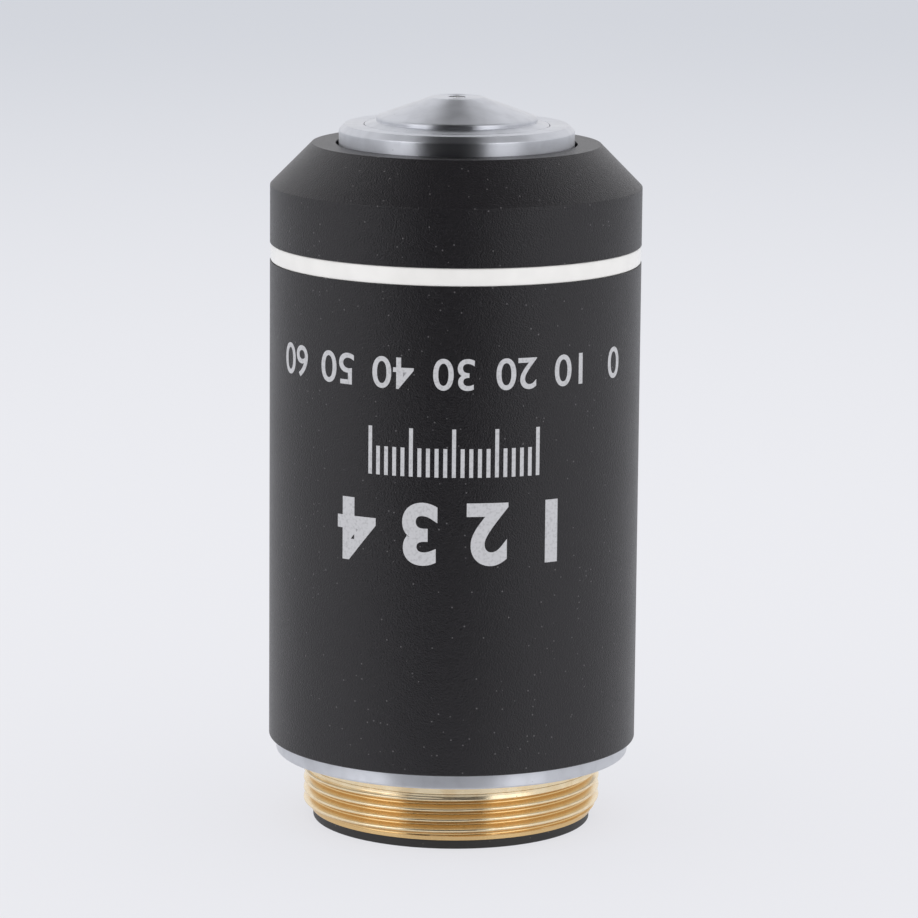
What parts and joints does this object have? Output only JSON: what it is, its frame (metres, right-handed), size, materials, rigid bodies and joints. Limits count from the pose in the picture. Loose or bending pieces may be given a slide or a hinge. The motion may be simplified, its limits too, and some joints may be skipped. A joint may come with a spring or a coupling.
{
  "type": "microscope objective",
  "caption": "Immersion microscope objective with a threaded brass mount, a black sleeve with a white band, and a spring-loaded conical nose that carries the lens stack.",
  "frame": {"origin": "centre of the rear ring's lower face, on which the objective stands; the seating shoulder is the plane 4.74 mm above it", "axes": "+Z along the optical axis, from the mounting thread to the front lens; -Y towards the picture's camera"},
  "size_m": [0.025, 0.025, 0.0494],
  "materials": {
    "black_coat": "satin",
    "white_enamel": "gloss",
    "print": "satin",
    "satin_chrome": "satin",
    "brass": "satin",
    "black_ring": "satin",
    "blackened_metal": "matte",
    "steel": "satin",
    "spring_steel": "polished",
    "crown_glass": "polished",
    "flint_glass": "polished"
  },
  "bodies": {
    "housing": {"outer_sleeve": "black_coat", "colour_band": "white_enamel", "body_tube": "satin_chrome", "parfocal_spacer": "brass", "thread_mount": "brass", "rear_ring": "black_ring", "stop_ring": "blackened_metal", "guide_screw": "steel", "return_spring": "spring_steel"},
    "lens_unit": {"lens_barrel": "satin_chrome", "front_cell": "satin_chrome", "front_lens": "crown_glass", "meniscus_cell": "blackened_metal", "meniscus_lens": "crown_glass", "singlet_cell": "blackened_metal", "singlet_lens": "crown_glass", "front_spacer": "blackened_metal", "front_doublet_cell": "blackened_metal", "front_doublet_crown": "crown_glass", "front_doublet_flint": "flint_glass", "aperture_stop": "blackened_metal", "middle_spacer": "blackened_metal", "middle_doublet_cell": "blackened_metal", "middle_doublet_flint": "flint_glass", "middle_doublet_crown": "crown_glass", "rear_spacer": "blackened_metal", "rear_doublet_cell": "blackened_metal", "rear_doublet_crown": "crown_glass", "rear_doublet_flint": "flint_glass", "field_spacer": "blackened_metal", "field_cell": "blackened_metal", "field_lens": "crown_glass", "stack_ring": "blackened_metal", "centring_screws": "steel"}
  },
  "joints": [
    {"name": "nose_slide", "type": "slide", "parent": "housing", "child": "lens_unit", "axis": [0, 0, -1], "range_m": [0, 0.003], "stiffness_N_per_m": 201, "springref_m": -0.008, "deforming": ["return_spring"]}
  ]
}
